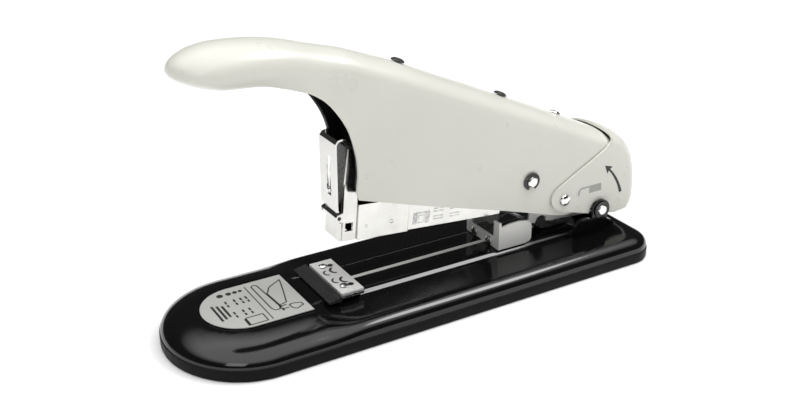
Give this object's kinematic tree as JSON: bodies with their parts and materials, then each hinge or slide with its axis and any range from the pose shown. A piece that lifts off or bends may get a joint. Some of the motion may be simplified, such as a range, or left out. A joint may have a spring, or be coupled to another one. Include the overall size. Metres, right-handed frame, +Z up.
{
  "type": "manual heavy-duty stapler",
  "caption": "Manual long-arm heavy-duty stapler: sprung handle drives a blade down the nose; tilting head, sliding paper stop, staple pusher and lifting rear cap.",
  "frame": {"origin": "middle of the underside of the whole object's bounding box, on the table", "axes": "+X from the grip and nose towards the hinge and rear cap, +Y across the base to the left seen from the grip end, +Z up"},
  "size_m": [0.2754, 0.085, 0.1473],
  "materials": {
    "base_skirt": "matt black",
    "base_shell": "gloss black paint",
    "stop_guide_rail": "bright steel",
    "anvil_base": "bright steel",
    "anvil_plate": "nickel plated",
    "anvil_ramp": "matt black",
    "anvil_rivet_l": "nickel plated",
    "anvil_rivet_r": "nickel plated",
    "instruction_label": "satin silver",
    "hinge_bracket": "gloss black paint",
    "hinge_pin": "nickel plated",
    "hinge_clip_l": "nickel plated",
    "hinge_clip_r": "nickel plated",
    "lift_spring": "bright steel",
    "lift_spring_rivet": "bright steel",
    "magazine_channel": "nickel plated",
    "magazine_rear": "black finished steel",
    "staple_rail": "bright steel",
    "nose_cover": "nickel plated",
    "nose_plate": "nickel plated",
    "nose_rail_l": "bright steel",
    "nose_rail_r": "bright steel",
    "nose_pin": "bright steel",
    "chassis_frame": "nickel plated",
    "spring_seat": "bright steel",
    "return_spring": "bright steel",
    "handle_cover": "semi-gloss off-white paint",
    "handle_lever": "black finished steel",
    "press_arm": "black finished steel",
    "pivot_pin": "nickel plated",
    "pivot_clip_l": "nickel plated",
    "pivot_clip_r": "nickel plated",
    "cover_rivet_1": "black finished steel",
    "cover_rivet_2": "black finished steel",
    "cover_rivet_3": "nickel plated",
    "cap_rivet_l": "nickel plated",
    "cap_rivet_r": "nickel plated",
    "rear_cap": "semi-gloss off-white paint",
    "driver_block": "black finished steel",
    "driver_blade": "bright steel",
    "nose_clip": "nickel plated",
    "clip_stud": "nickel plated",
    "pusher_block": "matt black",
    "pusher_spring": "bright steel",
    "depth_stop": "nickel plated",
    "stop_slider": "black finished steel",
    "stop_screw_l": "nickel plated",
    "stop_screw_r": "nickel plated"
  },
  "bodies": {
    "base": {"base_skirt": "base_skirt", "base_shell": "base_shell", "stop_guide_rail": "stop_guide_rail", "anvil_base": "anvil_base", "anvil_plate": "anvil_plate", "anvil_ramp": "anvil_ramp", "anvil_rivet_l": "anvil_rivet_l", "anvil_rivet_r": "anvil_rivet_r", "instruction_label": "instruction_label", "hinge_bracket": "hinge_bracket", "hinge_pin": "hinge_pin", "hinge_clip_l": "hinge_clip_l", "hinge_clip_r": "hinge_clip_r", "lift_spring": "lift_spring", "lift_spring_rivet": "lift_spring_rivet"},
    "head": {"magazine_channel": "magazine_channel", "magazine_rear": "magazine_rear", "staple_rail": "staple_rail", "nose_cover": "nose_cover", "nose_plate": "nose_plate", "nose_rail_l": "nose_rail_l", "nose_rail_r": "nose_rail_r", "nose_pin": "nose_pin", "chassis_frame": "chassis_frame", "spring_seat": "spring_seat", "return_spring": "return_spring"},
    "handle": {"handle_cover": "handle_cover", "handle_lever": "handle_lever", "press_arm": "press_arm", "pivot_pin": "pivot_pin", "pivot_clip_l": "pivot_clip_l", "pivot_clip_r": "pivot_clip_r", "cover_rivet_1": "cover_rivet_1", "cover_rivet_2": "cover_rivet_2", "cover_rivet_3": "cover_rivet_3", "cap_rivet_l": "cap_rivet_l", "cap_rivet_r": "cap_rivet_r"},
    "rear_cap": {"rear_cap": "rear_cap"},
    "driver": {"driver_block": "driver_block", "driver_blade": "driver_blade"},
    "nose_clip": {"nose_clip": "nose_clip", "clip_stud": "clip_stud"},
    "pusher": {"pusher_block": "pusher_block", "pusher_spring": "pusher_spring"},
    "depth_stop": {"depth_stop": "depth_stop", "stop_slider": "stop_slider", "stop_screw_l": "stop_screw_l", "stop_screw_r": "stop_screw_r"}
  },
  "joints": [
    {"name": "head_hinge", "type": "hinge", "parent": "base", "child": "head", "pos_m": [0.10675, 0, 0.0265], "axis": [0, -1, 0], "range_deg": [0, 8.2], "stiffness_Nm_per_rad": 6, "springref_deg": -6.88, "deforming": ["lift_spring"]},
    {"name": "handle_pivot", "type": "hinge", "parent": "head", "child": "handle", "pos_m": [0.05976, 0, 0.05252], "axis": [0, -1, 0], "range_deg": [0, 10], "stiffness_Nm_per_rad": 6, "springref_deg": -11.46, "deforming": ["return_spring"]},
    {"name": "driver_slide", "type": "slide", "parent": "head", "child": "driver", "axis": [-0.0837, 0, -0.9965], "range_m": [0, 0.0182]},
    {"name": "clip_hinge", "type": "hinge", "parent": "head", "child": "nose_clip", "pos_m": [-0.04844, 0, 0.05348], "axis": [0, -1, 0], "range_deg": [0, 30], "stiffness_Nm_per_rad": 0.05, "springref_deg": -11.46},
    {"name": "cap_hinge", "type": "hinge", "parent": "handle", "child": "rear_cap", "pos_m": [0.08215, 0, 0.037], "axis": [0, -1, 0], "range_deg": [0, 28]},
    {"name": "pusher_slide", "type": "slide", "parent": "head", "child": "pusher", "axis": [0.9965, 0, -0.0837], "range_m": [0, 0.075], "stiffness_N_per_m": 20, "springref_m": -0.05},
    {"name": "stop_slide", "type": "slide", "parent": "base", "child": "depth_stop", "axis": [1, 0, 0], "range_m": [-0.04, 0.014]}
  ],
  "couplings": [
    {"joint": "driver_slide", "follows": "handle_pivot", "m_per_rad": 0.1011}
  ]
}
